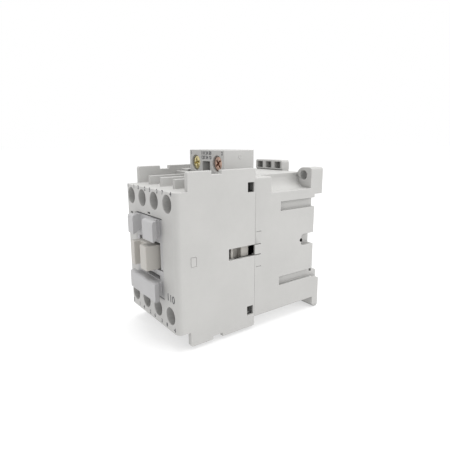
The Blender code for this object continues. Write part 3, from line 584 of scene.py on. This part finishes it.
def screw_outline(radius, length):
    """Half of a screw's outline, as (radius, y) points from the middle of its head."""
    shank = SHANK_SHARE * radius
    outline = [(0.0, 0.06), (radius * 0.72, 0.1), (radius - 0.22, 0.18), (radius - 0.05, 0.4),
               (radius, 0.6), (radius, HEAD_HEIGHT - 0.15), (radius - 0.15, HEAD_HEIGHT),
               (shank, HEAD_HEIGHT)]
    y = HEAD_HEIGHT + 0.1
    while y < length - 0.9:
        outline += [(shank - THREAD_DEPTH, y), (shank, y + THREAD_PITCH / 2.0)]
        y += THREAD_PITCH
    return outline + [(shank - 0.3, length - 0.5), (shank - 0.8, length), (0.0, length)]


def screw(node_name, turn):
    """Cheese-head screw with a combined cross and slot recess and a threaded shank."""
    low, high = (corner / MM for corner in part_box(node_name))
    radius = (high.x - low.x) / 2.0
    centre = ((low.x + high.x) / 2.0, low.y, (low.z + high.z) / 2.0)
    outline = screw_outline(radius, high.y - low.y)
    item = as_object(node_name + "_turned", turned(outline), centre)
    tool = bmesh.new()
    reach = radius * CROSS_SHARE
    for angle in (turn, turn + math.pi / 2.0):
        box_into(tool, (-reach, -OVERCUT, -CROSS_HALF_WIDTH),
                 (reach, CROSS_DEPTH, CROSS_HALF_WIDTH), angle)
    box_into(tool, (-WELL_HALF_WIDTH, -OVERCUT, -WELL_HALF_WIDTH),
             (WELL_HALF_WIDTH, WELL_DEPTH, WELL_HALF_WIDTH), turn + math.pi / 4.0)
    carve(item, as_object("recess", tool, centre))
    soft = item.modifiers.new("soft_edges", "BEVEL")
    soft.width = 0.05 * MM
    soft.segments = 2
    soft.limit_method = "ANGLE"
    soft.use_clamp_overlap = True
    stand_for(item, node_name)


def make_screws():
    for index, name in enumerate(sorted(NODE_SLOT)):
        if "screw" in name:
            screw(name, FIRST_TURN + TURN_STEP * index)


def wire_line(low, high, axis, turns, wire):
    """Points along a spring's wire in its box: the first and last turns lie closed."""
    centre = (low + high) / 2.0
    radius = (high.x - low.x) / 2.0 - wire
    bottom, top = low[axis] + wire, high[axis] - wire
    closed = CLOSED_PITCH * wire
    steps = int(turns * STEPS_PER_TURN)
    points = []
    for index in range(steps + 1):
        turn = turns * index / steps
        if turn < 1.0:
            along = bottom + closed * turn
        elif turn > turns - 1.0:
            along = top - closed * (turns - turn)
        else:
            along = bottom + closed + (top - bottom - 2.0 * closed) * (turn - 1.0) / (turns - 2.0)
        place = Vector(centre)
        place[axis] = along
        place[(axis + 1) % 3] += radius * math.cos(2.0 * math.pi * turn)
        place[(axis + 2) % 3] += radius * math.sin(2.0 * math.pi * turn)
        points.append(place)
    return points


def coil_spring(node_name, axis, turns, wire, hold_low):
    """Round-wire compression spring in its CAD node's box."""
    low, high = (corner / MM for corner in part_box(node_name))
    curve = bpy.data.curves.new(node_name + "_wound", "CURVE")
    curve.dimensions = "3D"
    curve.bevel_depth = wire * MM
    curve.bevel_resolution = 4
    curve.use_fill_caps = True
    places = wire_line(low, high, axis, turns, wire)
    line = curve.splines.new("POLY")
    line.points.add(len(places) - 1)
    for point, place in zip(line.points, places):
        point.co = (*(place * MM), 1.0)
    drawn = bpy.data.objects.new(node_name + "_drawn", curve)
    item = bpy.data.objects.new(node_name + "_wound", as_mesh(drawn))
    SCENE.collection.objects.link(item)
    item.data.shade_smooth()
    stand_for(item, node_name)
    anchor = (low + high) / 2.0
    anchor[axis] = low[axis] if hold_low else high[axis]
    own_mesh(item)


def make_springs():
    for index in range(1, 5):
        coil_spring(f"contact_spring_{index}", Y_AXIS, turns=5.0, wire=0.25,
                    hold_low=True)
    for side in ("left", "right"):
        coil_spring(f"return_spring_{side}", Y_AXIS, turns=6.0, wire=0.3,
                    hold_low=False)
    coil_spring("latch_spring", Z_AXIS, turns=6.0, wire=0.25,
                hold_low=False)


# Small moulded details and printing

def make_block_mark():
    """The small round ejector mark on the right side of the coil block."""
    low, high = (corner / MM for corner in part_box("coil_terminal_block"))
    item = as_object("coil_block_mark", turned(MARK_PROFILE),
                     (high.x, low.y + MARK_BACK, high.z - MARK_DOWN))
    item.rotation_euler.z = -math.pi / 2.0
    item.data.materials.append(LOOKS["coil_block_plastic"])
    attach(item, "casing")


def make_wall_plugs():
    """The small plug in each side wall's shallow recess, with a narrow gap all round it."""
    x, y, z = PLUG_PLACE
    for side, place in (("left", (-x, y, z)), ("right", (x, y, z))):
        shape = bmesh.new()
        box_into(shape, [-half for half in PLUG_HALF_SIZE], PLUG_HALF_SIZE)
        item = as_object("wall_plug_" + side, shape, place)
        item.data.materials.append(LOOKS["housing_plastic"])
        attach(item, "casing")


def printed(text, name, size, place):
    """Pad-printed figures standing a hair proud of a surface that faces the front."""
    curve = bpy.data.curves.new(name, "FONT")
    curve.body = text
    curve.size = size * MM
    curve.extrude = INK_HEIGHT * MM
    curve.offset = STROKE_GAIN * MM
    curve.align_x = "CENTER"
    curve.align_y = "CENTER"
    mesh = as_mesh(bpy.data.objects.new(name + "_drawn", curve))
    item = bpy.data.objects.new(name, mesh)
    item.location = Vector(place) * MM
    item.rotation_euler.x = math.pi / 2.0
    SCENE.collection.objects.link(item)
    mesh.materials.clear()
    mesh.materials.append(INK)
    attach(item, "casing")


def make_print():
    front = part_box("contact_housing")[0].y / MM - INK_HEIGHT
    for index, x in enumerate(POLE_X):
        for side, z, first in POLE_ROWS:
            printed(str(first + 2 * index), f"figure_{side}_{index}_a", POLE_FIGURE_SIZE,
                    (x + LEFT_FIGURE, front, z))
            printed(str(index + 1), f"figure_{side}_{index}_b", POLE_FIGURE_SIZE,
                    (x + RIGHT_FIGURE, front, z))
    printed("110", "figure_front", FRONT_FIGURE_SIZE, (FRONT_FIGURE_X, front, FRONT_FIGURE_Z))
    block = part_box("coil_terminal_block")[0].y / MM - INK_HEIGHT
    for label, text, x, z in BLOCK_FIGURES:
        printed(text, "figure_coil_" + label, BLOCK_FIGURE_SIZE, (x, block, z))


# Stage: a glowing white floor, two soft lights and the camera, in metres unless named otherwise

FLOOR_HALF_SIZE = 6.0
FLOOR_GAP = 0.0002
FLOOR_SCALE = 3.0
FLOOR_TONES = ((0.41, 0.41, 0.41), (0.43, 0.43, 0.43))
FLOOR_GLOW = 0.55
WHITE = (1.0, 1.0, 1.0, 1.0)
LIGHT_TARGET = (0.0, -0.038, 0.003)
# Each light: name, place, width and height, power in watts.
LIGHTS = (("top", (0.0, 0.05, 0.9), 0.6, 5.2), ("side", (0.67, 0.45, 0.38), 0.45, 2.1))
CAMERA_MM = (146.69, -142.89, 45.70)
CAMERA_DEGREES = {"yaw": 54.05, "pitch": 12.02, "roll": 0.32}
SENSOR_MM = 36.0
LENS_MM = 31.298


def make_stage():
    shape = bmesh.new()
    bmesh.ops.create_grid(shape, x_segments=8, y_segments=8, size=FLOOR_HALF_SIZE)
    mesh = bpy.data.meshes.new("floor")
    shape.to_mesh(mesh)
    shape.free()
    floor = bpy.data.objects.new("floor", mesh)
    floor.location = (0.0, 0.0, cad_low.z - FLOOR_GAP)
    SCENE.collection.objects.link(floor)
    n = Nodes("Floor")
    n.colour(n.blend(n.noise(FLOOR_SCALE), *FLOOR_TONES))
    n.settle(Roughness=0.9, Emission_Color=WHITE, Emission_Strength=FLOOR_GLOW)
    mesh.materials.append(n.material)


def area_light(name, place, size, power):
    data = bpy.data.lights.new(name, "AREA")
    data.shape = "SQUARE"
    data.size = size
    data.energy = power
    lamp = bpy.data.objects.new(name, data)
    lamp.location = place
    aim = Vector(LIGHT_TARGET) - Vector(place)
    lamp.rotation_euler = aim.to_track_quat("-Z", "Y").to_euler()
    SCENE.collection.objects.link(lamp)


def make_lights():
    world = bpy.data.worlds.new("studio")
    world.use_nodes = True
    world.node_tree.nodes["Background"].inputs["Color"].default_value = WHITE
    world.node_tree.nodes["Background"].inputs["Strength"].default_value = 1.0
    SCENE.world = world
    for light in LIGHTS:
        area_light(*light)
    SCENE.view_settings.view_transform = "Standard"


def make_camera():
    yaw, pitch, roll = (math.radians(angle) for angle in CAMERA_DEGREES.values())
    forward = Vector((-math.sin(yaw) * math.cos(pitch), math.cos(yaw) * math.cos(pitch),
                      -math.sin(pitch)))
    level = Vector((math.cos(yaw), math.sin(yaw), 0.0))
    down = forward.cross(level)
    right = math.cos(roll) * level + math.sin(roll) * down
    down = math.cos(roll) * down - math.sin(roll) * level
    data = bpy.data.cameras.new("camera")
    data.sensor_width = SENSOR_MM
    data.lens = LENS_MM
    data.clip_start = 0.01
    camera = bpy.data.objects.new("camera", data)
    turn = Matrix((right, -down, -forward)).transposed().to_4x4()
    camera.matrix_world = Matrix.Translation(Vector(CAMERA_MM) * MM) @ turn
    SCENE.collection.objects.link(camera)
    SCENE.camera = camera


make_camera()
make_lights()
make_stage()
dress_cad_nodes()
make_casings()
make_screws()
make_springs()
make_metalwork()
make_block_mark()
make_wall_plugs()
make_print()
